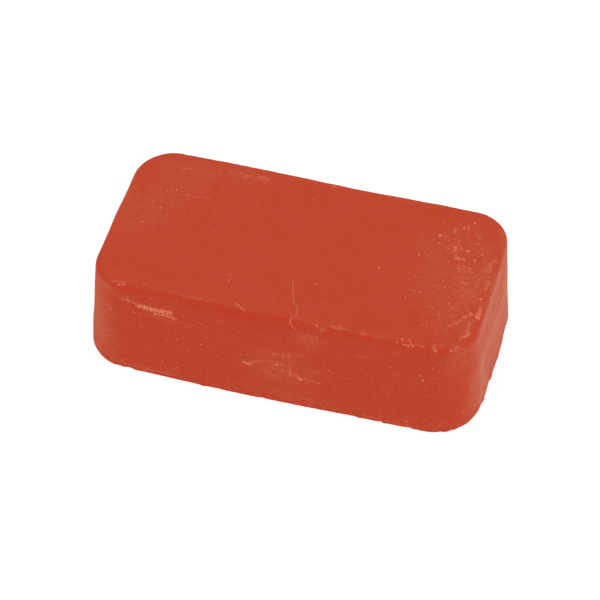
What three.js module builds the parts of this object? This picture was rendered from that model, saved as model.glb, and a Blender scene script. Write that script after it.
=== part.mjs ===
// A bar of detailing clay: one solid block of soft, abrasive-filled polymer putty that is rubbed over
// wet paintwork to lift bonded grime. It is pressed in an open mould, so its walls lean inwards to let
// it out, the edge made by the mould's floor is rolled, and the edge at the mould's open side is nearly
// sharp. It has no core, skin or insert, and nothing on it moves, so the block is the only piece.
//
// Millimetres, +Z up. The origin is the centre of the underside, and the length runs along X.

import * as THREE from "three";

// Driving dimensions, at the underside unless the name says otherwise.
const LENGTH = 95;
const WIDTH = 51;
const HEIGHT = 26;
const CORNER_RADIUS = 11; // upright corners
const DRAFT_ANGLE = 3.6; // degrees that each wall leans inwards
const TOP_EDGE_RADIUS = 1.6; // rolled edge round the top face
const BASE_EDGE_RADIUS = 0.6; // edge round the underside

// Fineness of the faceted curves. A path draws each arc with two chords for every division.
const CORNER_DIVISIONS = 10;
const EDGE_DIVISIONS = 3;

// The block's plan at a wall inset: a rounded rectangle, anticlockwise from above.
function planAt(inset) {
  const x = LENGTH / 2 - CORNER_RADIUS;
  const y = WIDTH / 2 - CORNER_RADIUS;
  const radius = CORNER_RADIUS - inset;
  const quarter = Math.PI / 2;
  const plan = new THREE.Path();
  plan.absarc(x, y, radius, 0, quarter);
  plan.absarc(-x, y, radius, quarter, 2 * quarter);
  plan.absarc(-x, -y, radius, 2 * quarter, 3 * quarter);
  plan.absarc(x, -y, radius, 3 * quarter, 4 * quarter);
  return withoutRepeats(plan.getPoints(CORNER_DIVISIONS));
}

// The wall's section from the underside's flat to the top's flat: x is the inset and y the height.
function wallSection() {
  const lean = THREE.MathUtils.degToRad(DRAFT_ANGLE);
  const topInset = HEIGHT * Math.tan(lean);

  // Each edge arc touches a level face and the leaning wall, so its centre follows from its radius.
  const baseCentre = BASE_EDGE_RADIUS * (1 / Math.cos(lean) + Math.tan(lean));
  const topCentre = topInset + TOP_EDGE_RADIUS * (1 / Math.cos(lean) - Math.tan(lean));

  const section = new THREE.Path();
  section.absarc(baseCentre, BASE_EDGE_RADIUS, BASE_EDGE_RADIUS, -Math.PI / 2, -Math.PI - lean, true);
  section.absarc(topCentre, HEIGHT - TOP_EDGE_RADIUS, TOP_EDGE_RADIUS, Math.PI - lean, Math.PI / 2, true);
  return withoutRepeats(section.getPoints(EDGE_DIVISIONS));
}

// A path's points, less any that repeats the one before it, or the first one at the end.
function withoutRepeats(points) {
  return points.filter((point, i) => point.distanceTo(points.at(i - 1)) > 1e-6);
}

// The block: its plan repeated at each point of the wall section, with a flat face at each end.
function clayBlock() {
  const section = wallSection();
  const rings = section.map((point) => planAt(point.x));
  const count = rings[0].length;
  const positions = rings.flatMap((ring, i) => ring.flatMap((point) => [point.x, point.y, section[i].y]));

  const triangles = [];
  for (let ring = 0; ring + 1 < rings.length; ring++) {
    for (let i = 0; i < count; i++) {
      const low = ring * count + i;
      const lowNext = ring * count + ((i + 1) % count);
      triangles.push(low, lowNext, lowNext + count);
      triangles.push(low, lowNext + count, low + count);
    }
  }

  const lastRing = (rings.length - 1) * count;
  for (const [a, b, c] of THREE.ShapeUtils.triangulateShape(rings[0], [])) {
    triangles.push(a, c, b);
    triangles.push(lastRing + a, lastRing + b, lastRing + c);
  }

  const block = new THREE.BufferGeometry();
  block.setAttribute("position", new THREE.Float32BufferAttribute(positions, 3));
  block.setIndex(triangles);
  block.computeVertexNormals();
  return block;
}

const clay = new THREE.MeshStandardMaterial({ color: 0xc04830, roughness: 0.6, metalness: 0 });

const clayBar = new THREE.Mesh(clayBlock(), clay);
clayBar.name = "clay_bar";

const bar = new THREE.Group();
bar.add(clayBar);

export default bar;
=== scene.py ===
import math
from dataclasses import dataclass

import bmesh
import bpy
import numpy as np
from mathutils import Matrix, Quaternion, Vector, noise


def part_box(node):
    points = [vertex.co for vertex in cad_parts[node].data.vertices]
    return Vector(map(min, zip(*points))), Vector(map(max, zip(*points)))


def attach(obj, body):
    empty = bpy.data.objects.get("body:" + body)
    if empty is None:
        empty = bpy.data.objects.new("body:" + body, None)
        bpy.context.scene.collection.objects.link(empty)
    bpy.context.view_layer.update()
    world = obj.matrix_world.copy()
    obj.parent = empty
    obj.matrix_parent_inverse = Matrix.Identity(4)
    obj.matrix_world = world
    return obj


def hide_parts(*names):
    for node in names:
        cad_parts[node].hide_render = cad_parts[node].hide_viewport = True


# The looks of a bar of detailing clay, which is one pressed block of soft, chalk-filled putty. The block
# is rebuilt round the CAD node's box as a fine mesh, which is then worked over as hands, the mould and
# other objects leave it: swells, a spread foot, nicks, a crack, scratches and scuffs.
#
# All shape work is in millimetres, in the frame of the CAD model. Only the finished mesh, the stage, the
# lights and the camera are in metres.

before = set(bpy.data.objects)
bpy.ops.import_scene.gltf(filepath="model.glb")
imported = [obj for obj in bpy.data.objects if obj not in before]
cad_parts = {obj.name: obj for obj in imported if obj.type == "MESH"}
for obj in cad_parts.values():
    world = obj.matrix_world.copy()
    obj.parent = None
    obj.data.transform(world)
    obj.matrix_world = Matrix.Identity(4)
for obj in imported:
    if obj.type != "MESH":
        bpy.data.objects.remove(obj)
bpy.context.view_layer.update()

MM = 0.001
low_corner, high_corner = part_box("clay_bar")
LENGTH, WIDTH, HEIGHT = (high_corner - low_corner) / MM

# The block's plain shape, as in the CAD model.
CORNER_RADIUS = 11.0
LEAN = math.tan(math.radians(3.6))  # how far a wall moves in for each millimetre of height
TOP_ROLL = 1.6
BASE_EDGE = 0.6

# Fineness of the mesh.
SPACING = 0.58
EDGE_ROWS = 5  # rows of faces over the rounded edge at each end of a side
# The mesh is halved round the marks, and again round the fine ones: how far out, and up to which width.
REFINEMENTS = ((0.6, math.inf), (0.3, 0.7))
WELD_GAP = 0.01  # points of the plain box that are closer than this are joined

TINY = 1e-9  # keeps a division by a length of 0 harmless


# ---------------------------------------------------------------------------------------------------
# Small tools for arrays of points


def ramp(value, low, high):
    """Goes smoothly from 0 where value is low to 1 where it is high."""
    t = ((value - low) / (high - low)).clip(0, 1)
    return t * t * (3 - 2 * t)


def rough(points, size, seed, octaves=1):
    """Smooth noise at each point, about -1 to 1, in swells of that size, which may differ by axis."""
    shift = 31.7 * seed  # far enough for each seed to read its own part of the noise
    places = (points / np.array(size) + shift).tolist()
    return np.array([noise.fractal(place, 1.0, 2.0, octaves) for place in places])


def patches(points, places):
    """The strongest of some soft patches at each point.

    A patch is a centre, its reach along each axis, and its strength at the centre, from where it fades
    out to 0. Above 1, a strength that is later cut off at 1 stays full for some way out.
    """
    strongest = np.zeros(len(points))
    for centre, reach, strength in places:
        gap = np.linalg.norm((points - centre) / reach, axis=1)
        strongest = np.maximum(strongest, strength * ramp(gap, 1, 0))
    return strongest


def distance_to_path(points, path):
    """The shortest distance from each point to a path of straight stretches."""
    nearest = np.full(len(points), np.inf)
    for start, end in zip(path, path[1:]):
        start = np.array(start)
        stretch = np.array(end) - start
        share = ((points - start) @ stretch / (stretch @ stretch)).clip(0, 1)
        gap = np.linalg.norm(points - start - share[:, None] * stretch, axis=1)
        nearest = np.minimum(nearest, gap)
    return nearest


def beside_path(points, normals, path):
    """Where points near a path are: how far along it, to its left, and beyond its nearer end.

    All three are measured over the surface, so they leave out how far the path is above or below it.
    """
    nearest = np.full(len(points), np.inf)
    along = np.zeros(len(points))
    left = np.zeros(len(points))
    beyond = np.zeros(len(points))
    walked = 0.0
    for start, end in zip(path, path[1:]):
        start = np.array(start)
        length = np.linalg.norm(np.array(end) - start)
        direction = (np.array(end) - start) / length
        ahead = (points - start) @ direction
        aside = ((points - start) * np.cross(normals, direction)).sum(axis=1)
        over = np.abs(ahead - ahead.clip(0, length))
        closer = np.hypot(aside, over) < nearest
        nearest[closer] = np.hypot(aside, over)[closer]
        along[closer] = walked + ahead[closer]
        left[closer] = aside[closer]
        beyond[closer] = over[closer]
        walked += length
    return along, left, beyond


# ---------------------------------------------------------------------------------------------------
# Where things are on the block


def on_top(x, y):
    return (x, y, HEIGHT)


def on_front(x, z):
    return (x, z * LEAN - WIDTH / 2, z)


def on_back(x, z):
    return (x, WIDTH / 2 - z * LEAN, z)


def on_right_end(y, z):
    return (LENGTH / 2 - z * LEAN, y, z)


def on_left_end(y, z):
    return (z * LEAN - LENGTH / 2, y, z)


@dataclass
class Mark:
    """A crack, scratch, scuff or crumb: a band along a path over the surface."""

    path: list
    width: float  # how far from the path it fades out
    depth: float  # how deep it is cut, or below 0, how far it stands up
    cover: float  # the share of it that chalk covers, from scattered grains to a solid line at 1
    pale: float  # how pale the chalk on it is


def crumb(place, width, pale):
    """A crumb of clay that sticks to the surface: a very short mark, nearly solid, that stands up."""
    x, y, z = place
    length = 0.15
    height = 0.25 * width
    return Mark([place, (x + length, y, z)], width, -height, 0.95, pale)


# The crack starts on the top and runs over the front edge, where it gets wider and fainter.
CRACK = Mark(
    [
        on_top(0.7, -10.6),
        on_top(1.4, -13.7),
        on_top(2.2, -15.9),
        on_top(2.6, -17.3),
        on_top(4.0, -18.7),
        on_top(4.4, -21.0),
        on_top(3.4, -22.8),
    ],
    width=0.17,
    depth=0.16,
    cover=1.0,
    pale=0.38,
)
CRACK_END = Mark([on_top(3.4, -22.8), on_front(3.6, 25.6), on_front(4.8, 24.2)], 0.28, 0.1, 0.84, 0.32)

FRONT_MARKS = [
    # The strong scuff at the left, with fine streaks before and after it.
    Mark([on_front(-37.8, 22.7), on_front(-34.8, 22.1)], 0.3, 0.02, 0.66, 0.5),
    Mark([on_front(-36.6, 23.0), on_front(-33.7, 23.7)], 0.3, 0.02, 0.62, 0.4),
    Mark([on_front(-35.6, 22.3), on_front(-33.2, 21.5), on_front(-31.6, 21.0)], 0.5, 0.05, 0.68, 0.7),
    Mark([on_front(-33.0, 21.2), on_front(-29.4, 21.0), on_front(-25.0, 21.1)], 0.95, 0.07, 0.76, 0.85),
    Mark([on_front(-29.0, 19.7), on_front(-26.6, 19.8), on_front(-24.0, 19.5)], 0.55, 0.06, 0.78, 0.85),
    Mark([on_front(-31.0, 18.9), on_front(-24.0, 18.6)], 1.4, 0.02, 0.48, 0.4),
    Mark([on_front(-30.0, 24.4), on_front(-28.8, 24.3)], 0.45, 0.03, 0.64, 0.4),
    Mark([on_front(-34.3, 18.8), on_front(-32.0, 19.0)], 0.4, 0.03, 0.62, 0.45),
    Mark([on_front(-23.6, 18.7), on_front(-19.6, 18.6)], 0.16, 0.02, 0.8, 0.2),
    Mark([on_front(-18.9, 19.7), on_front(-15.9, 19.3)], 0.16, 0.02, 0.8, 0.25),
    # Smears and dabs in the middle.
    Mark([on_front(-7.2, 10.2), on_front(-5.8, 10.0)], 0.6, 0.05, 0.8, 0.75),
    Mark([on_front(-6.2, 10.4), on_front(-4.6, 11.0)], 1.1, 0.02, 0.6, 0.5),
    Mark([on_front(-4.6, 10.9), on_front(-3.0, 12.0)], 1.0, 0.02, 0.55, 0.4),
    Mark([on_front(-2.0, 8.8), on_front(1.4, 7.0)], 1.6, 0.02, 0.5, 0.35),
    Mark([on_front(3.7, 11.6), on_front(4.2, 9.2)], 0.9, 0.04, 0.63, 0.5),
    Mark([on_front(5.5, 9.5), on_front(6.4, 8.7)], 1.0, 0.05, 0.67, 0.65),
    Mark([on_front(7.4, 9.1), on_front(9.6, 8.7), on_front(11.4, 8.6)], 0.7, 0.03, 0.56, 0.5),
    Mark([on_front(-0.9, 14.7), on_front(3.9, 15.4), on_front(6.9, 16.6)], 1.2, 0.02, 0.5, 0.35),
    Mark([on_front(-1.4, 12.2), on_front(2.4, 12.0)], 1.2, 0.02, 0.52, 0.35),
    Mark([on_front(6.2, 21.5), on_front(7.6, 22.7), on_front(10.0, 22.9)], 0.9, 0.02, 0.58, 0.3),
    Mark([on_front(13.1, 13.6), on_front(14.2, 12.8)], 0.35, 0.03, 0.66, 0.35),
    Mark([on_front(6.8, 2.9), on_front(9.8, 2.5)], 0.7, 0.02, 0.57, 0.35),
    Mark([on_front(20.0, 19.9), on_front(21.8, 19.9)], 0.7, 0.02, 0.56, 0.3),
    # Crumbs and a dab towards both ends, and pale lines along the foot.
    crumb(on_front(34.7, 17.8), 0.3, 0.5),
    crumb(on_front(35.4, 16.6), 0.35, 0.65),
    crumb(on_front(37.4, 20.8), 0.25, 0.4),
    crumb(on_front(42.0, 14.1), 0.28, 0.5),
    Mark([on_front(43.2, 23.7), on_front(43.6, 25.0)], 0.45, 0.03, 0.64, 0.45),
    crumb(on_front(-32.2, 14.7), 0.26, 0.5),
    crumb(on_front(-17.7, 13.1), 0.28, 0.6),
    crumb(on_front(-37.2, 2.6), 0.35, 0.55),
    Mark([on_front(-37.0, 1.5), on_front(-31.0, 1.3), on_front(-24.0, 1.4)], 0.45, 0.03, 0.6, 0.5),
    Mark([on_front(22.0, 1.0), on_front(34.0, 0.8)], 0.4, 0.03, 0.56, 0.45),
]

TOP_MARKS = [
    # A short gouge that runs onto the front edge, then pale strokes and crumbs along that edge.
    Mark([on_top(-10.1, -21.3), on_top(-9.2, -21.9), on_top(-7.5, -23.0)], 0.42, 0.09, 0.72, 0.55),
    Mark([on_top(-39.8, -22.5), on_top(-36.6, -22.2)], 0.4, 0.02, 0.7, 0.45),
    Mark([on_top(-38.1, -23.2), on_top(-36.6, -22.8)], 0.4, 0.02, 0.72, 0.52),
    Mark([on_top(-22.6, -22.6), on_top(-17.9, -22.5)], 0.4, 0.03, 0.64, 0.35),
    crumb(on_top(-32.3, -21.6), 0.38, 0.5),
    Mark([on_top(9.0, -22.8), on_top(9.9, -23.3)], 0.5, 0.04, 0.7, 0.45),
    Mark([on_top(13.2, -22.4), on_top(15.4, -22.5)], 0.8, 0.05, 0.62, 0.45),
    # The worn line along the right third of the front edge, and on round the corner.
    Mark([on_top(20.0, -22.4), on_top(22.0, -22.9), on_top(24.4, -23.1)], 0.5, 0.03, 0.58, 0.35),
    crumb(on_top(29.6, -21.9), 0.42, 0.5),
    crumb(on_top(28.7, -23.1), 0.42, 0.35),
    Mark([on_top(30.3, -23.4), on_top(31.6, -23.3)], 0.6, 0.05, 0.64, 0.65),
    Mark([on_top(31.2, -21.6), on_top(32.5, -23.3)], 0.4, 0.05, 0.68, 0.6),
    Mark([on_top(32.9, -22.8), on_top(35.3, -22.6)], 0.45, 0.03, 0.6, 0.5),
    Mark([on_top(37.1, -21.7), on_top(37.6, -23.0)], 0.85, 0.05, 0.61, 0.65),
    Mark([on_top(38.3, -21.4), on_top(39.4, -21.2)], 0.35, 0.04, 0.64, 0.5),
    Mark([on_top(41.5, -22.1), on_top(42.5, -20.7)], 0.9, 0.03, 0.63, 0.58),
    Mark([on_top(43.3, -13.9), on_top(43.7, -16.6), on_top(42.4, -17.8)], 0.8, 0.04, 0.68, 0.65),
    Mark([on_top(43.9, -11.8), on_top(42.8, -13.6)], 0.7, 0.04, 0.61, 0.55),
    Mark([on_top(44.7, -7.6), on_top(44.5, -10.6)], 1.0, 0.05, 0.72, 0.7),
    crumb(on_top(44.1, -4.7), 0.45, 0.65),
    # Grains in a curved line near the right end, and short streaks and crumbs round it.
    Mark(
        [on_top(38.9, -14.9), on_top(39.9, -14.2), on_top(41.3, -12.2), on_top(42.5, -10.2)],
        0.38,
        0.03,
        0.63,
        0.6,
    ),
    Mark([on_top(41.6, -11.6), on_top(42.8, -9.8)], 0.9, 0.03, 0.63, 0.75),
    Mark([on_top(32.5, -16.4), on_top(33.9, -16.2)], 0.7, 0.03, 0.6, 0.5),
    Mark([on_top(36.4, -16.6), on_top(36.9, -17.6)], 0.5, 0.03, 0.62, 0.5),
    Mark([on_top(35.6, -11.4), on_top(36.4, -14.0)], 0.6, 0.02, 0.58, 0.45),
    crumb(on_top(37.2, -7.9), 0.35, 0.4),
    crumb(on_top(27.0, -8.8), 0.3, 0.5),
    Mark([on_top(27.7, -6.0), on_top(30.3, -6.3)], 0.4, 0.03, 0.64, 0.5),
    Mark([on_top(30.9, -4.2), on_top(33.3, -3.1)], 0.9, 0.02, 0.52, 0.3),
    Mark([on_top(27.4, -1.6), on_top(28.6, -1.6)], 0.4, 0.02, 0.62, 0.35),
    crumb(on_top(38.5, -0.6), 0.4, 0.5),
    Mark([on_top(39.1, -0.8), on_top(40.7, -0.4)], 0.3, 0.02, 0.64, 0.4),
    # A fan of three curved streaks, and the smudge in front of it.
    Mark([on_top(36.2, 4.5), on_top(37.8, 4.7), on_top(39.6, 4.4)], 0.45, 0.02, 0.67, 0.52),
    Mark([on_top(36.4, 3.6), on_top(38.3, 3.6), on_top(40.2, 3.2)], 0.45, 0.02, 0.67, 0.52),
    Mark([on_top(37.0, 2.8), on_top(38.8, 2.8)], 0.45, 0.02, 0.64, 0.45),
    Mark([on_top(36.5, 0.4), on_top(40.5, 2.0)], 1.3, 0.02, 0.5, 0.3),
    # Blotches just inside the right edge.
    Mark([on_top(44.3, 8.3), on_top(43.3, 4.4)], 1.5, 0.02, 0.57, 0.5),
    Mark([on_top(44.6, 1.6), on_top(44.5, -1.5)], 0.8, 0.02, 0.62, 0.5),
    # Crumbs towards the back right corner, some of them smeared.
    crumb(on_top(30.0, 13.1), 0.45, 0.75),
    Mark([on_top(31.0, 13.2), on_top(32.2, 13.4)], 0.6, -0.04, 0.6, 0.45),
    crumb(on_top(29.9, 17.6), 0.42, 0.35),
    Mark([on_top(32.9, 16.2), on_top(33.3, 14.9)], 1.0, -0.04, 0.65, 0.5),
    crumb(on_top(34.9, 16.9), 0.5, 0.55),
    Mark([on_top(35.8, 18.2), on_top(36.2, 16.6)], 0.4, -0.05, 0.74, 0.55),
    crumb(on_top(36.9, 19.3), 0.38, 0.75),
    Mark([on_top(34.5, 10.3), on_top(35.0, 7.8), on_top(35.4, 6.5)], 0.8, -0.04, 0.62, 0.65),
    Mark([on_top(35.2, 11.2), on_top(36.2, 9.6)], 0.9, -0.04, 0.55, 0.5),
    Mark([on_top(35.7, 6.6), on_top(37.4, 6.9)], 0.75, -0.04, 0.68, 0.65),
    crumb(on_top(37.5, 9.8), 0.5, 0.65),
    crumb(on_top(39.6, 7.1), 0.6, 0.45),
    crumb(on_top(41.0, 9.4), 0.4, 0.35),
    Mark([on_top(27.7, 6.8), on_top(29.6, 5.2), on_top(30.4, 5.3)], 0.4, -0.03, 0.6, 0.45),
    crumb(on_top(26.7, 5.6), 0.4, 0.4),
    # Streaks and crumbs at the back left, and one crumb further forward.
    Mark([on_top(-22.9, 20.0), on_top(-18.6, 19.6)], 1.0, 0.02, 0.56, 0.5),
    Mark([on_top(-16.4, 20.4), on_top(-14.3, 20.2)], 1.1, 0.02, 0.58, 0.55),
    Mark([on_top(-35.6, 18.2), on_top(-33.2, 18.4)], 0.7, -0.04, 0.58, 0.45),
    Mark([on_top(-33.6, 9.3), on_top(-29.0, 9.6), on_top(-25.2, 9.9)], 0.3, 0.02, 0.64, 0.3),
    crumb(on_top(-36.2, 3.7), 0.4, 0.45),
    crumb(on_top(-38.6, 5.6), 0.35, 0.35),
    crumb(on_top(-36.4, 9.4), 0.3, 0.4),
    crumb(on_top(-13.6, -13.0), 0.35, 0.35),
]


def hatch(i):
    """One of the short slanting strokes that lie side by side on the top, near the right end."""
    start = on_top(38.9 + 0.3 * i, 1.3 * i - 7.6)
    end = on_top(41.4 + 0.2 * i, 1.3 * i - 6.2)
    return Mark([start, end], 0.4, 0.02, 0.57, 0.4)


HATCHING = [hatch(i) for i in range(5)]

# Drag lines along the ends and the back, nearly level with the base, as on a bar pushed over a bench,
# and one short cut high on the back that slants.
FAR_MARKS = [
    Mark([on_right_end(-12.0, 20.4), on_right_end(13.0, 21.0)], 0.35, 0.04, 0.7, 0.4),
    Mark([on_right_end(-13.0, 12.6), on_right_end(-1.0, 13.1)], 0.55, 0.08, 0.9, 0.4),
    Mark([on_right_end(-2.0, 12.8), on_right_end(14.0, 13.5)], 0.5, 0.08, 0.86, 0.38),
    Mark([on_right_end(-9.0, 9.2), on_right_end(13.0, 10.0)], 0.25, 0.04, 0.7, 0.4),
    Mark([on_left_end(-12.0, 15.2), on_left_end(3.0, 15.9)], 0.4, 0.04, 0.65, 0.7),
    Mark([on_left_end(2.0, 9.4), on_left_end(11.0, 8.8)], 0.3, 0.04, 0.6, 0.6),
    Mark([on_back(-31.0, 16.4), on_back(-12.0, 17.5)], 0.6, 0.05, 0.6, 0.75),
    Mark([on_back(8.0, 9.6), on_back(15.0, 9.9)], 0.4, 0.04, 0.65, 0.7),
    Mark([on_back(22.0, 21.0), on_back(26.0, 19.8)], 0.35, 0.06, 0.8, 0.75),
]

# A mark's place in this list is also the seed of its ragged edges.
MARKS = [CRACK, *FRONT_MARKS, *TOP_MARKS, *HATCHING, *FAR_MARKS, CRACK_END]

# Every soft patch below is a centre, its reach along each axis, and a strength.

# The film of chalk that handling leaves. On the ends and the front corners its pale haze is partly painted
# sheen, the paleness of light glancing off them.
CHALK_AND_SHEEN_PATCHES = [
    # The front wall, and its corners, where the haze is partly painted sheen and the pale band down the
    # right corner is partly a painted highlight.
    ((-44, -22, 12), (8, 9, 22), 0.44),
    ((-48, -15, 12), (3, 9, 24), 1.3),
    ((-41.3, -22.2, 24.2), (6.5, 4.5, 2.8), 0.45),
    ((1, -25, 10), (15, 5, 8), 0.2),
    ((8, -24, 21), (6, 3, 4), 0.3),
    ((1, -25, 2.5), (18, 4, 5), 0.16),
    ((43, -20.5, 23), (7.5, 6.5, 9), 0.36),
    ((48, -18, 8), (4, 9, 20), 0.8),
    # The right end, whose pale haze is partly chalk and partly painted sheen.
    ((48, -11, 8), (4, 6.5, 19), 1.35),
    ((47.3, -13.5, 3.2), (3, 5.5, 5), 1.5),
    ((48, 2, 15), (6, 38, 21), 0.85),
    ((48, 4, 22.8), (6, 40, 4), 1.6),
    ((48, 2, 7.5), (6, 38, 11), 0.85),
    ((47, 0, 23), (6, 36, 4), 1.0),
    ((48, 19, 14), (7, 18, 28), 2.0),
    # The top: its right end, its left end, and strips along its edges, of which the two just inside the
    # front edge are a painted highlight.
    ((42, -2, 26), (9, 26, 5), 0.5),
    ((33, 4, 26), (12, 18, 5), 0.25),
    ((-30, 17, 26), (17, 8, 5), 0.22),
    ((-20, 20, 26), (5, 2.2, 3), 0.5),
    ((-15, 20.2, 26), (3.5, 2.2, 3), 0.6),
    ((-41, 2, 26), (8, 18, 5), 0.28),
    # A painted highlight where the roll begins, just inside the front edge.
    ((20, -22.2, 26), (14, 1.6, 3), 0.26),
    ((-8, -22.3, 26), (30, 1.8, 3), 0.14),
    ((0, 24, 26), (70, 3, 3), 0.45),
    ((-46, 5, 26), (3, 22, 3), 0.6),
    # The left end and the back.
    ((-47, 3, 12), (5, 30, 18), 0.7),
    ((-12, 25, 12), (22, 5, 9), 0.5),
    ((30, 25, 15), (14, 5, 9), 0.35),
]

# Where that film is streaked level with the base: on both ends, from pushing the bar over a bench.
DRAGGED = [
    ((50, 4, 13), (7, 34, 24), 1.0),
    ((-50, 8, 13), (8, 26, 24), 0.8),
]

# Where handling has dented the block.
DENTS = [
    ((-36.5, -25.5, 0), (3, 2, 2.5), 0.45),
    ((41.5, -24.5, 0), (3, 2.5, 3), 0.25),
    ((-47, -4, 12), (6, 9, 8), 0.12),
    ((12, 25, 12), (16, 5, 9), 0.15),
]

# Where it has been pushed out, as at its foot.
BULGES = [
    ((39.6, 23.1, 25), (3.5, 4, 4), 0.27),
    ((-46, 2, 24), (6, 13, 9), 0.3),
    ((-47, -16, 5), (6, 8, 8), 0.25),
    ((47, 2.5, 4), (9, 18, 20), 0.5),
    ((-6, -26, 2), (28, 6, 12), 0.42),
    ((46, -9, 3), (8, 10, 9), 0.45),
    ((32, 22, 25), (26, 7, 6), 0.2),
    ((-46, 14, 24), (6, 12, 9), 0.25),
]

# Where its rolled edge has crumbled.
CRUMBLED = [
    ((16, -23, 25), (16, 6, 6), 1.0),
    ((38, -22, 25), (9, 6, 6), 0.8),
    ((44, -8, 25), (5, 16, 6), 0.7),
    ((-20, -23, 25), (6, 6, 6), 0.5),
    ((-20, 23, 25), (20, 6, 6), 0.7),
]

# Where wear has taken most of the polish off that edge.
WORN_EDGE = [
    ((9.5, -23.5, 25.5), (7, 4, 5), 0.85),
    ((46, 2, 26), (5, 27, 9), 0.9),
    ((43, -20, 25), (9, 8, 8), 0.8),
    ((0, 25, 26), (70, 5, 5), 0.8),
    ((-46, 4, 26), (5, 24, 6), 0.6),
]

# Where the polished band below the rolled edge reaches further down.
WIDE_POLISH = [((-5, -25, 24), (20, 6, 12), 1.0)]

# Where loose grains of chalk lie thickest.
GRAINS = [
    ((36, 11, 26), (13, 13, 4), 1.0),
    ((37, -9, 26), (12, 15, 4), 0.9),
    ((38, -24, 17), (8, 4, 8), 0.6),
    ((2, -25, 12), (15, 4, 8), 1.0),
    ((-36, 8, 26), (12, 16, 4), 0.6),
    ((-25, 19, 26), (18, 5, 4), 0.7),
    ((-43, -22, 12), (7, 8, 14), 0.8),
    ((-25, 25, 14), (16, 4, 10), 0.7),
    ((-47, -4, 14), (4, 18, 10), 0.8),
    ((47, 0, 10), (4, 22, 8), 0.7),
]


# ---------------------------------------------------------------------------------------------------
# The mesh: a plain box of fine faces, which is then bent to the block's rounded shape


def ruler(low, high, low_edge, high_edge):
    """Grid lines from low to high, closer together over the rounded edge at each end."""
    middle_rows = round((high - low - low_edge - high_edge) / SPACING)
    lines = [
        np.linspace(low, low + low_edge, EDGE_ROWS + 1),
        np.linspace(low + low_edge, high - high_edge, middle_rows + 1),
        np.linspace(high - high_edge, high, EDGE_ROWS + 1),
    ]
    return np.unique(np.concatenate(lines))


RULERS = (
    ruler(-LENGTH / 2, LENGTH / 2, TOP_ROLL, TOP_ROLL),
    ruler(-WIDTH / 2, WIDTH / 2, TOP_ROLL, TOP_ROLL),
    ruler(0, HEIGHT, BASE_EDGE, TOP_ROLL),
)


def side_of_box(axis, end):
    """The side of the plain box at that end of that axis: its points, and four of them for each face."""
    across, up = (other for other in range(3) if other != axis)
    points = np.empty((len(RULERS[across]), len(RULERS[up]), 3))
    points[..., across] = RULERS[across][:, None]
    points[..., up] = RULERS[up][None, :]
    points[..., axis] = RULERS[axis][end]
    number = np.arange(points.shape[0] * points.shape[1]).reshape(points.shape[:2])
    corners = [number[:-1, :-1], number[1:, :-1], number[1:, 1:], number[:-1, 1:]]
    return points.reshape(-1, 3), np.stack(corners, axis=-1).reshape(-1, 4)


# The flat sheet that the sides are laid out on, for the map that finished materials are baked to.
SHEET_MARGIN = 2.0
SHEET_SIZE = 2 * WIDTH + 2 * HEIGHT + 3 * SHEET_MARGIN
SHEET_CORNER = np.array([-SHEET_SIZE / 2, -1.5 * WIDTH - HEIGHT - 2 * SHEET_MARGIN])


def unfolded(points, axis, end):
    """The side's place on the sheet: the walls folded out round the top, and the underside beyond."""
    flat = points[:, :2].copy()
    if axis < 2:
        outward = 1 if end == -1 else -1
        flat[:, axis] += outward * (HEIGHT - points[:, 2])
    elif end == 0:
        flat[:, 1] -= WIDTH + HEIGHT + SHEET_MARGIN
    return flat


def plain_box():
    """The block's mesh data, and the box as one welded mesh in millimetres, both with that map."""
    points, faces, flat = [], [], []
    count = 0
    for axis in range(3):
        for end in (0, -1):
            side_points, side_faces = side_of_box(axis, end)
            points.append(side_points)
            faces.append(side_faces + count)
            flat.append(unfolded(side_points, axis, end))
            count += len(side_points)

    mesh = bpy.data.meshes.new("clay_block")
    mesh.from_pydata(np.concatenate(points).tolist(), [], np.concatenate(faces).tolist())
    place = (np.concatenate(flat) - SHEET_CORNER) / SHEET_SIZE
    corner_points = np.empty(len(mesh.loops), int)
    mesh.loops.foreach_get("vertex_index", corner_points)
    mesh.uv_layers.new(name="OFBake").data.foreach_set("uv", place[corner_points].ravel())

    block = bmesh.new()
    block.from_mesh(mesh)
    bmesh.ops.remove_doubles(block, verts=block.verts, dist=WELD_GAP)
    bmesh.ops.recalc_face_normals(block, faces=block.faces)
    return mesh, block


def corner_reach(box_points):
    """Each point's nearest place in the block's core, how far out it is from there, and which way.

    All three are in plan. The core is the rectangle between the centres of the rounded corners. How far
    out is the larger of the two offsets, because the plain box has square corners.
    """
    core = np.array([LENGTH / 2 - CORNER_RADIUS, WIDTH / 2 - CORNER_RADIUS])
    inner = box_points[:, :2].clip(-core, core)
    out = box_points[:, :2] - inner
    direction = out / np.maximum(np.linalg.norm(out, axis=1), TINY)[:, None]
    return inner, np.abs(out).max(axis=1), direction


def rolled(inset, depth, radius):
    """Bends a square edge, where inset and depth are both 0, round that radius."""
    a = np.maximum(radius - inset, 0)
    b = np.maximum(radius - depth, 0)
    cut = 1 - np.maximum(a, b) / np.maximum(np.hypot(a, b), TINY)
    return inset + a * cut, depth + b * cut


def rounded(box_points):
    """The points of the plain box, moved to the block's rounded corners, leaning walls and edges."""
    inner, reach, direction = corner_reach(box_points)
    inset = CORNER_RADIUS - reach
    inset, depth = rolled(inset, HEIGHT - box_points[:, 2], TOP_ROLL)
    inset, height = rolled(inset, HEIGHT - depth, BASE_EDGE)
    reach = (CORNER_RADIUS - inset) * (1 - height * LEAN / CORNER_RADIUS)
    return np.column_stack([inner + direction * reach[:, None], height])


def points_of(block):
    return np.array([vert.co[:] for vert in block.verts])


def move_to(block, points):
    for vert, point in zip(block.verts, points):
        vert.co = point
    block.normal_update()


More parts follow.
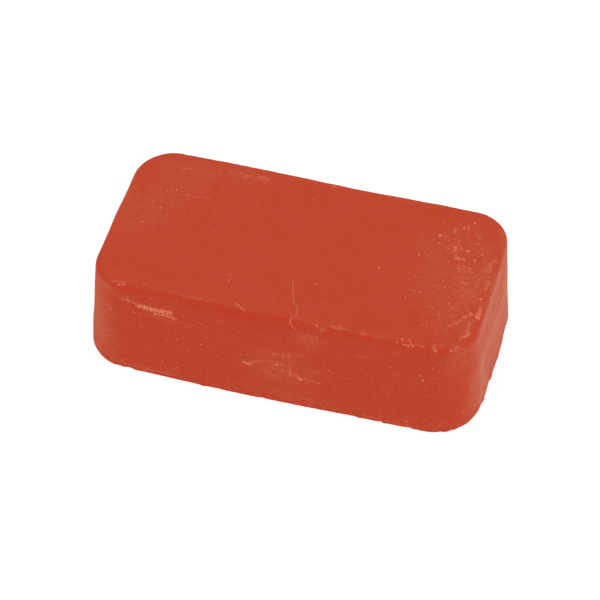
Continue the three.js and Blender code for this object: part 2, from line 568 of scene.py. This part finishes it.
def refine(block):
    """Halves the faces round the marks, once and then again nearer to the fine ones."""
    for reach, widest in REFINEMENTS:
        points = rounded(points_of(block))
        near = np.zeros(len(points), bool)
        for mark in MARKS:
            if mark.width <= widest:
                near |= distance_to_path(points, mark.path) < mark.width + reach
        edges = [edge for edge in block.edges if all(near[vert.index] for vert in edge.verts)]
        bmesh.ops.subdivide_edges(block, edges=edges, cuts=1, use_grid_fill=True)
        block.verts.index_update()
    many_sided = [face for face in block.faces if len(face.verts) > 4]
    bmesh.ops.triangulate(block, faces=many_sided)


# ---------------------------------------------------------------------------------------------------
# The surface: how far it moves out from the plain block, and what lies on it


def mark_effects(points, normals):
    """How the marks move the surface, and the attributes that their chalk is drawn from.

    "mark_place" is a point's place over the mark nearest to it: the distance along it in millimetres, and
    the distances to its left and beyond its end as shares of its width.
    """
    moved = np.zeros(len(points))
    drawn = {
        "mark_place": np.zeros((len(points), 3)),
        "mark_cover": np.zeros(len(points)),
        "mark_pale": np.zeros(len(points)),
    }
    nearest = np.full(len(points), np.inf)
    for seed, mark in enumerate(MARKS):
        affected = 2.6 * mark.width + 1
        near = np.flatnonzero(distance_to_path(points, mark.path) < affected)
        close = points[near]
        along, left, beyond = beside_path(close, normals[near], mark.path)
        # The mark strays from its path, and its depth varies, most of all where its chalk is thin.
        astray = (0.12 * mark.width + 0.05) * rough(close, 1.3, 10 + seed, 2)
        left += astray
        share = np.hypot(left, beyond) / mark.width
        uneven = 0.7 + 0.5 * rough(close, 0.5, 100 + seed, 2) * (1 - 0.6 * mark.cover)
        # Low lips stand up beside a cut, and a shallow groove runs round what stands up.
        lips = np.exp(-(((share - 1.7) / 0.5) ** 2))
        moved[near] += mark.depth * (0.3 * lips - ramp(share, 1.3, 0.2) * uneven)

        on_this = share < nearest[near]
        here = near[on_this]
        nearest[here] = share[on_this]
        place_on_mark = np.column_stack([along, left / mark.width, beyond / mark.width])
        drawn["mark_place"][here] = place_on_mark[on_this]
        drawn["mark_cover"][here] = (mark.cover * ramp(share, 2.2, 1.5))[on_this]
        drawn["mark_pale"][here] = mark.pale
    return moved, drawn


@dataclass
class Zones:
    """Where each point lies on the plain block."""

    past_edge: np.ndarray  # the way from the middle of the rolled edge: below 0 on top, above 0 on a wall
    from_base: np.ndarray  # the way from the base edge, to either side of it
    underside: np.ndarray  # 1 on the underside, from just inside its edge, and 0 elsewhere


def zones_of(box_points):
    height = box_points[:, 2]
    inset = CORNER_RADIUS - corner_reach(box_points)[1]
    return Zones(
        past_edge=(HEIGHT - height) - inset,
        from_base=height + inset,
        underside=ramp(height - inset, 0, -0.6),
    )


def on_roll(zones):
    """1 in the middle of the rolled edge, and fading out over about its width to both sides."""
    return np.exp(-((zones.past_edge / 1.5) ** 2))


def edge_crests(points, zones):
    """How much the crumbled stretches of the rolled edge stand up or, below 0, have broken away."""
    return on_roll(zones) * patches(points, CRUMBLED) * rough(points, (1.6, 1.6, 1.0), 12, 3)


def worked_over(points, zones, crests):
    """How far each point moves out from the plain block, apart from the marks."""
    # Swells and dents from pressing and handling.
    moved = 0.2 * rough(points, 32, 1) + 0.09 * rough(points, 11, 2, 2) + 0.03 * rough(points, 3.5, 3, 2)
    moved -= patches(points, DENTS)
    moved += patches(points, BULGES) * (1 - zones.underside)
    # Fine grain all over.
    moved += 0.012 * rough(points, 0.9, 4, 3)

    # The rolled edge isn't even: it is flattened and crumbled in places and has small nicks.
    nicks = ramp(rough(points, 2.6, 6), 0.42, 0.7)
    moved += on_roll(zones) * (0.09 * rough(points, 8, 5, 2) - 0.1 * nicks)
    moved += 0.22 * crests
    # A thin burr stands out round the base, where clay crept past the mould's lip. It has broken off here
    # and there.
    burr = np.exp(-((zones.from_base / 0.7) ** 2))
    crept = ramp(rough(points, 3.2, 7, 2), 0.1, 0.8)
    broken = ramp(rough(points, 2.2, 8), 0.35, 0.7)
    moved += burr * (0.08 + 0.3 * crept - 0.2 * broken)
    # The walls carry faint drag lines from leaving the mould, and the underside, which is slightly
    # hollow, carries those of the scraper.
    walls = ramp(zones.past_edge, 2, 5) * (1 - zones.underside)
    moved += 0.03 * walls * rough(points, (9, 9, 0.8), 9, 2)
    scraped = 0.12 * rough(points, 14, 10, 2) + 0.05 * rough(points, (12, 1.1, 5), 11, 2)
    moved += zones.underside * (scraped - 0.25)
    return moved


def surface_attributes(points, zones, crests):
    """What the material reads at each point: where it lies, what wear and chalk there are, and the painted
    sheen that rides on the chalk's film.
    """
    worn = patches(points, WORN_EDGE)
    walls = ramp(zones.past_edge, 0, 2) * (1 - zones.underside)
    film_and_sheen = patches(points, CHALK_AND_SHEEN_PATCHES) * ramp(zones.from_base, 0.2, 2.4)
    grains_everywhere = 0.05 + 0.07 * walls + 0.5 * ramp(zones.from_base, 5, 1)
    return {
        "past_edge": zones.past_edge,
        "from_base": zones.from_base,
        "crests": crests,
        "worn": worn,
        "polished_to": 1.5 + 6 * patches(points, WIDE_POLISH) - 1.2 * worn,
        "chalk_and_sheen": np.maximum(film_and_sheen, 0.3 * zones.underside),
        "dragged": 0.3 + 0.6 * patches(points, DRAGGED),
        "walls": walls,
        "grains": np.maximum(patches(points, GRAINS), grains_everywhere),
    }


def store(mesh, attributes):
    """Keeps the values at each point on the mesh, for the material to read."""
    for name, values in attributes.items():
        kind, field = ("FLOAT_VECTOR", "vector") if values.ndim == 2 else ("FLOAT", "value")
        stored = mesh.attributes.new(name, kind, "POINT")
        stored.data.foreach_set(field, values.astype(np.float32).ravel())


def block_mesh():
    """The finished block as a mesh in metres, with what lies on its surface as attributes."""
    mesh, block = plain_box()
    refine(block)
    box_points = points_of(block)
    points = rounded(box_points)
    move_to(block, points)
    normals = np.array([vert.normal[:] for vert in block.verts])

    zones = zones_of(box_points)
    crests = edge_crests(points, zones)
    marks_moved, marks_drawn = mark_effects(points, normals)
    moved = worked_over(points, zones, crests) + marks_moved
    points += normals * moved[:, None]
    points[:, 2] = points[:, 2].clip(0, None)

    move_to(block, points * MM)
    block.to_mesh(mesh)
    block.free()
    mesh.shade_smooth()
    store(mesh, marks_drawn)
    store(mesh, surface_attributes(points, zones, crests))
    return mesh


# ---------------------------------------------------------------------------------------------------
# Materials


def srgb(red, green, blue):
    """A colour given in the usual 0 to 255 display numbers, as a node wants it."""
    shares = [channel / 255 for channel in (red, green, blue)]
    return [s / 12.92 if s <= 0.04045 else ((s + 0.055) / 1.055) ** 2.4 for s in shares] + [1.0]


CLAY_RED = srgb(191, 60, 30)
CLAY_DULL = srgb(191, 70, 43)
CLAY_PALE = srgb(203, 87, 63)
# Clean red, which also paints the rim light round the base.
CLEAN_AND_RIM_RED = srgb(194, 56, 30)
# The chalk film's colour, which also paints the sheen on the ends and front corners.
FILM_AND_SHEEN_COLOUR = srgb(202, 141, 107)
CHALK = srgb(250, 155, 121)


class Nodes:
    """Adds nodes to a material's tree. An input may be a number, a colour or another node's output."""

    def __init__(self, name):
        self.material = bpy.data.materials.new(name)
        self.material.use_nodes = True
        self.tree = self.material.node_tree
        self.shader = self.tree.nodes["Principled BSDF"]

    def add(self, kind, inputs, **settings):
        node = self.tree.nodes.new("ShaderNode" + kind)
        for name, value in settings.items():
            setattr(node, name, value)
        self.connect(node, inputs)
        return node

    def connect(self, node, inputs):
        for name, value in inputs.items():
            if isinstance(value, bpy.types.NodeSocket):
                self.tree.links.new(value, node.inputs[name])
            else:
                node.inputs[name].default_value = value

    def math(self, operation, a, b=0.0):
        return self.add("Math", {0: a, 1: b}, operation=operation).outputs[0]

    def vector_math(self, operation, a, b):
        return self.add("VectorMath", {0: a, 1: b}, operation=operation).outputs[0]

    def ramp(self, value, low, high, bottom=0.0, top=1.0):
        """Goes smoothly from bottom where value is low to top where it is high."""
        inputs = {"Value": value, "From Min": low, "From Max": high, "To Min": bottom, "To Max": top}
        return self.add("MapRange", inputs, interpolation_type="SMOOTHSTEP").outputs["Result"]

    def mix(self, share, a, b):
        """That share of b, and the rest a."""
        colour_a, colour_b, colour_out = 6, 7, 2
        mixer = self.add("Mix", {"Factor": share, colour_a: a, colour_b: b}, data_type="RGBA")
        return mixer.outputs[colour_out]

    def attribute(self, name, output="Fac"):
        return self.add("Attribute", {}, attribute_name=name).outputs[output]

    def place(self):
        """The point's place on the object in millimetres."""
        per_metre = 1 / MM
        coordinates = self.add("TexCoord", {}).outputs["Object"]
        inputs = {"Vector": coordinates, "Scale": (per_metre, per_metre, per_metre)}
        return self.add("Mapping", inputs).outputs[0]

    def noise(self, place, size, detail, sharpness=0.5):
        inputs = {"Vector": place, "Scale": 1 / size, "Detail": detail, "Roughness": sharpness}
        return self.add("TexNoise", inputs).outputs["Fac"]


def dots(nodes, place, spacing, share):
    """Small round grains, no two alike, in that share of the cells of an uneven grid."""
    ragged = nodes.add("TexNoise", {"Vector": place, "Scale": 4 / spacing, "Detail": 1.0}).outputs["Color"]
    ragged = nodes.add("VectorMath", {0: ragged, "Scale": 0.35 * spacing}, operation="SCALE").outputs[0]
    place = nodes.vector_math("ADD", place, ragged)
    cells = nodes.add("TexVoronoi", {"Vector": place, "Scale": 1 / spacing})
    lots = nodes.add("SeparateColor", {"Color": cells.outputs["Color"]})
    size = nodes.ramp(lots.outputs["Green"], 0, 1, 0.12, 0.34)
    inside = nodes.ramp(cells.outputs["Distance"], size, nodes.math("MULTIPLY", size, 0.6))
    chosen = nodes.math("LESS_THAN", lots.outputs["Red"], share)
    return nodes.math("MULTIPLY", inside, nodes.math("MULTIPLY", chosen, lots.outputs["Blue"]))


def rubbed(nodes, size, turn, stretch, seed):
    """Fine streaks across the top, as another object leaves when it rubs over it, turned by an angle."""
    inputs = {
        "Vector": nodes.add("TexCoord", {}).outputs["Object"],
        "Location": (seed, seed, seed),
        "Rotation": (0, 0, math.radians(turn)),
        "Scale": (1 / (MM * stretch * size), 1 / (MM * size), 1 / (MM * size)),
    }
    turned = nodes.add("Mapping", inputs).outputs[0]
    return nodes.noise(turned, 1.0, 3, 0.6)


# The level lines that noise draws round the walls: how long they are, and how close together.
LINE_LENGTH = 28
LINE_SPACING = 1.1


def drawn_out(nodes, place):
    """The place to read noise at, at a size of 1, for those lines."""
    shares = (1 / LINE_LENGTH, 1 / LINE_LENGTH, 0)
    rows = nodes.math("DIVIDE", nodes.attribute("past_edge"), LINE_SPACING)
    down = nodes.add("CombineXYZ", {"Z": rows}).outputs[0]
    return nodes.vector_math("ADD", nodes.vector_math("MULTIPLY", place, shares), down)


def drawn_marks(nodes, fine):
    """Where the marks are, in strands that run along them and break up into grains, and their chalk."""
    parts = nodes.add("SeparateXYZ", {0: nodes.attribute("mark_place", "Vector")})
    along, left, beyond = (parts.outputs[axis] for axis in "XYZ")
    strand_place = {"X": nodes.math("DIVIDE", along, 1.1), "Y": nodes.math("MULTIPLY", left, 3.5)}
    strands = nodes.noise(nodes.add("CombineXYZ", strand_place).outputs[0], 1.0, 2, 0.6)
    grains = nodes.ramp(nodes.noise(nodes.place(), 0.34, 3, 0.75), 0.25, 0.75)
    texture = nodes.math("ADD", nodes.math("MULTIPLY", strands, 0.4), nodes.math("MULTIPLY", grains, 0.6))

    # The chalk thins out from the path, with a ragged edge.
    ragged = nodes.math("MULTIPLY", nodes.math("SUBTRACT", fine, 0.5), 1.6)
    off_path = nodes.add("CombineXYZ", {"X": nodes.math("ADD", left, ragged), "Y": beyond}).outputs[0]
    share = nodes.add("VectorMath", {0: off_path}, operation="LENGTH").outputs["Value"]
    cover = nodes.math("MULTIPLY", nodes.attribute("mark_cover"), nodes.ramp(share, 1.3, 0.2))
    marked = nodes.ramp(nodes.math("ADD", texture, nodes.math("MULTIPLY", cover, 0.75)), 0.88, 1.2)
    return marked, nodes.math("MULTIPLY", marked, nodes.attribute("mark_pale"))


def bare_clay(nodes, place, fine):
    """The colour of the clay: a mottled red with paler specks, duller on top and redder on the walls,
    where the deeper red is painted shade.
    """
    walls = nodes.attribute("walls")
    mottle = nodes.ramp(nodes.noise(place, 7, 4, 0.6), 0.3, 0.7, 0.35, 0.65)
    # The walls take less of the duller mix: painted shade, as less light falls on them than on the top.
    dull = nodes.math("MULTIPLY", mottle, nodes.ramp(walls, 0, 1, 1, 0.2))
    body = nodes.mix(dull, CLAY_RED, CLAY_DULL)
    most_pale = nodes.ramp(walls, 0, 1, 0.27, 0.33)
    return nodes.mix(nodes.ramp(fine, 0.38, 0.75, 0, most_pale), body, CLAY_PALE)


def polish(nodes, place, level):
    """Where the clay is polished, and where it is drawn clean red: there, and in a thin line round the
    base that is a painted rim light.

    The mould polished the rolled edge and a band of varied width below it.
    """
    wobble = nodes.math("MULTIPLY", nodes.math("SUBTRACT", nodes.noise(place, 2.4, 3, 0.6), 0.5), 0.8)
    wander = nodes.math("MULTIPLY", nodes.math("SUBTRACT", nodes.noise(place, 9, 1), 0.5), 1.8)
    edge = nodes.math("ADD", nodes.attribute("past_edge"), nodes.math("ADD", wobble, wander))
    polished_to = nodes.attribute("polished_to")
    below = nodes.ramp(edge, nodes.math("MULTIPLY", polished_to, 0.2), polished_to, 1, 0)
    polished = nodes.math("MULTIPLY", nodes.ramp(edge, -1.3, -0.8), below)

    # It is less in level streaks, along the crest of the edge, and where the edge is worn.
    streaked = nodes.ramp(level, 0.35, 0.65, 1, 0.6)
    crest = nodes.ramp(nodes.math("ABSOLUTE", edge), 0.3, 0.7, 0.72, 1)
    worn = nodes.ramp(nodes.attribute("worn"), 0, 1, 1, 0.35)
    for remaining in (streaked, crest, worn):
        polished = nodes.math("MULTIPLY", polished, remaining)

    # Where the edge has broken away, the clay that shows is as clean.
    polished = nodes.math("MAXIMUM", polished, nodes.ramp(nodes.attribute("crests"), -0.1, -0.4))
    # The thin red line round the base is a painted rim light, the bright edge that light from the floor
    # gives.
    rim_light = nodes.ramp(nodes.math("ADD", nodes.attribute("from_base"), wobble), 0.9, 0.5)
    return polished, nodes.math("MAXIMUM", polished, rim_light)


def chalk_film_and_sheen(nodes, place, level_place, level, polished, marked):
    """How thick the film of chalk is, together with the painted sheen it carries on the ends and front
    corners. It is cloudy, and broken up into crumbs, streaks and level lines.
    """
    cloud = nodes.ramp(nodes.noise(place, 3.4, 4, 0.7), 0.38, 0.64, 0.2, 1)
    crumbs = nodes.ramp(nodes.noise(place, 0.6, 3, 0.7), 0.4, 0.68, 0.1, 1)
    streaks = nodes.math("MAXIMUM", rubbed(nodes, 0.42, 25, 7, 3), rubbed(nodes, 0.38, 105, 6, 5))
    streaks = nodes.ramp(streaks, 0.55, 0.72)
    bands = nodes.ramp(nodes.noise(level_place, 4.0, 1), 0.42, 0.58, 0.6, 1.05)
    lines = nodes.math("MULTIPLY", nodes.ramp(level, 0.38, 0.6, 0.2, 1), bands)
    dragged_film = nodes.mix(nodes.attribute("walls"), streaks, lines)
    dragged = nodes.attribute("dragged")
    broken = nodes.mix(dragged, nodes.math("MULTIPLY", crumbs, cloud), dragged_film)
    film_and_sheen = nodes.math("MULTIPLY", nodes.attribute("chalk_and_sheen"), broken)
    film_and_sheen = nodes.math("MULTIPLY", film_and_sheen, nodes.ramp(polished, 0, 1, 1, 0.3))

    # It is smudged where loose grains lie, and chalky on the crests of the crumbled edge.
    smudges = nodes.ramp(nodes.noise(place, 1.2, 4, 0.8), 0.54, 0.7, 0, 0.55)
    flecks = nodes.ramp(nodes.noise(place, 0.42, 2, 0.6), 0.58, 0.72, 0, 0.45)
    smudges = nodes.math("MAXIMUM", smudges, flecks)
    film_and_sheen = nodes.math("MAXIMUM", film_and_sheen, nodes.math("MULTIPLY", smudges, nodes.attribute("grains")))
    on_crests = nodes.math("MULTIPLY", crumbs, nodes.ramp(nodes.attribute("crests"), 0.1, 0.5, 0, 0.5))
    film_and_sheen = nodes.math("MAXIMUM", film_and_sheen, on_crests)

    # Scores in the dragged parts, and the marks, cut through it.
    scores = nodes.ramp(nodes.noise(level_place, 0.4, 1), 0.66, 0.72)
    bare = nodes.math("MULTIPLY", scores, dragged)
    film_and_sheen = nodes.math("MULTIPLY", film_and_sheen, nodes.ramp(bare, 0, 1, 1, 0.1))
    return nodes.math("MULTIPLY", film_and_sheen, nodes.ramp(marked, 0, 1, 1, 0.2))


def loose_grains(nodes, place):
    """Loose grains of chalk, coarse and fine, which gather in drifts."""
    drifts = nodes.ramp(nodes.noise(place, 3.5, 2), 0.42, 0.62, 0.15, 1)
    density = nodes.math("MULTIPLY", nodes.attribute("grains"), drifts)
    coarse_dots = dots(nodes, place, 0.9, nodes.math("MULTIPLY", density, 0.45))
    fine_dots = dots(nodes, place, 0.5, nodes.math("MULTIPLY", density, 0.6))
    loose = nodes.math("MAXIMUM", coarse_dots, nodes.math("MULTIPLY", fine_dots, 0.6))
    return nodes.math("MULTIPLY", loose, 0.6)


def clay_material():
    """Matt putty: a mottled red, cleaner where the mould polished it, with a painted rim light round the
    base, under a broken film of chalk that is partly painted sheen on the ends and front corners.
    """
    nodes = Nodes("detailing_clay")
    place = nodes.place()
    level_place = drawn_out(nodes, place)
    level = nodes.noise(level_place, 1.0, 4, 0.7)
    fine = nodes.noise(place, 0.7, 3, 0.65)
    grain = nodes.noise(place, 0.26, 2, 0.6)

    polished, clean_and_rim_light = polish(nodes, place, level)
    marked, mark_chalk = drawn_marks(nodes, fine)
    film_and_sheen = chalk_film_and_sheen(nodes, place, level_place, level, polished, marked)
    chalk = nodes.math("MAXIMUM", loose_grains(nodes, place), mark_chalk)

    # Clean red where the mould polished the clay, and as a painted rim light round the base.
    colour = nodes.mix(clean_and_rim_light, bare_clay(nodes, place, fine), CLEAN_AND_RIM_RED)
    # The chalk film, which on the ends and front corners is partly painted sheen.
    colour = nodes.mix(nodes.math("MULTIPLY", film_and_sheen, 0.95), colour, FILM_AND_SHEEN_COLOUR)
    colour = nodes.mix(chalk, colour, CHALK)

    matt = nodes.ramp(nodes.math("ADD", film_and_sheen, chalk), 0, 1, 0.65, 0.95)
    roughness = nodes.math("SUBTRACT", matt, nodes.math("MULTIPLY", clean_and_rim_light, 0.08))

    relief = nodes.math("ADD", nodes.math("MULTIPLY", fine, 0.6), nodes.math("MULTIPLY", grain, 0.4))
    relief = nodes.math("ADD", relief, nodes.math("MULTIPLY", chalk, 0.5))
    bump = nodes.add("Bump", {"Height": relief, "Distance": 0.07 * MM, "Strength": 1.0})

    finish = {
        "Base Color": colour,
        "Roughness": roughness,
        "Normal": bump.outputs["Normal"],
        "Specular IOR Level": 0.1,
        "Sheen Weight": 0.02,
        "Sheen Roughness": 0.5,
        "Sheen Tint": srgb(255, 225, 210),
    }
    nodes.connect(nodes.shader, finish)
    return nodes.material


def floor_material():
    """White paper on a light table, whose glow fills most of the shadow."""
    nodes = Nodes("pale_floor")
    finish = {
        "Base Color": (0.25, 0.25, 0.25, 1),
        "Roughness": 0.9,
        "Specular IOR Level": 0.0,
        "Emission Color": (1, 1, 1, 1),
        "Emission Strength": 0.84,
    }
    nodes.connect(nodes.shader, finish)
    return nodes.material


# ---------------------------------------------------------------------------------------------------
# The object


def clay_block():
    """The block itself, which stands for the CAD node."""
    mesh = block_mesh()
    mesh.materials.append(clay_material())
    block = bpy.data.objects.new("clay_block", mesh)
    bpy.context.collection.objects.link(block)
    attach(block, "root")
    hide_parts("clay_bar")


# ---------------------------------------------------------------------------------------------------
# Stage, light and camera, in metres


def pale_floor():
    half = 2.0
    corners = [(-half, -half, 0), (half, -half, 0), (half, half, 0), (-half, half, 0)]
    mesh = bpy.data.meshes.new("floor")
    mesh.from_pydata(corners, [], [(0, 1, 2, 3)])
    mesh.materials.append(floor_material())
    floor = bpy.data.objects.new("floor", mesh)
    bpy.context.collection.objects.link(floor)


def soft_light(name, place, size, watts):
    """A square lamp that faces the bar."""
    lamp = bpy.data.lights.new(name, "AREA")
    lamp.size = size
    lamp.energy = watts
    light = bpy.data.objects.new(name, lamp)
    light.location = place
    light.rotation_mode = "QUATERNION"
    light.rotation_quaternion = Vector(place).to_track_quat("Z", "Y")
    bpy.context.collection.objects.link(light)


def studio_light():
    """A white tent, lit from above, with a smaller lamp low on the right."""
    world = bpy.data.worlds.new("white_tent")
    world.use_nodes = True
    background = world.node_tree.nodes["Background"]
    background.inputs["Color"].default_value = (1, 1, 1, 1)
    background.inputs["Strength"].default_value = 0.75
    bpy.context.scene.world = world
    bpy.context.scene.view_settings.view_transform = "Standard"
    soft_light("overhead_light", place=(-0.25, -0.15, 1.15), size=0.9, watts=3.4)
    soft_light("right_light", place=(1.25, 0.15, 0.42), size=0.4, watts=2.1)


def photo_camera():
    """A long lens that looks down on the bar from the front and slightly from its right."""
    azimuth = math.radians(15.06)
    elevation = math.radians(46.0)
    roll = math.radians(0.64)
    distance = 0.679
    focal_length = 171  # in millimetres, on a sensor 36 mm wide
    centre = Vector((0, 0, HEIGHT * MM / 2))
    aim_below, aim_left = 3.19 * MM, 0.48 * MM  # how far from the centre the camera aims

    level = math.cos(elevation)
    back = Vector((math.sin(azimuth) * level, -math.cos(azimuth) * level, math.sin(elevation)))
    right = Vector((math.cos(azimuth), math.sin(azimuth), 0))
    above = back.cross(right)
    location = centre + distance * back
    aim = centre - aim_below * above - aim_left * right

    camera = bpy.data.cameras.new("camera")
    camera.lens = focal_length
    viewer = bpy.data.objects.new("camera", camera)
    viewer.location = location
    viewer.rotation_mode = "QUATERNION"
    viewer.rotation_quaternion = (location - aim).to_track_quat("Z", "Y") @ Quaternion((0, 0, 1), roll)
    bpy.context.collection.objects.link(viewer)
    bpy.context.scene.camera = viewer


clay_block()
pale_floor()
studio_light()
photo_camera()
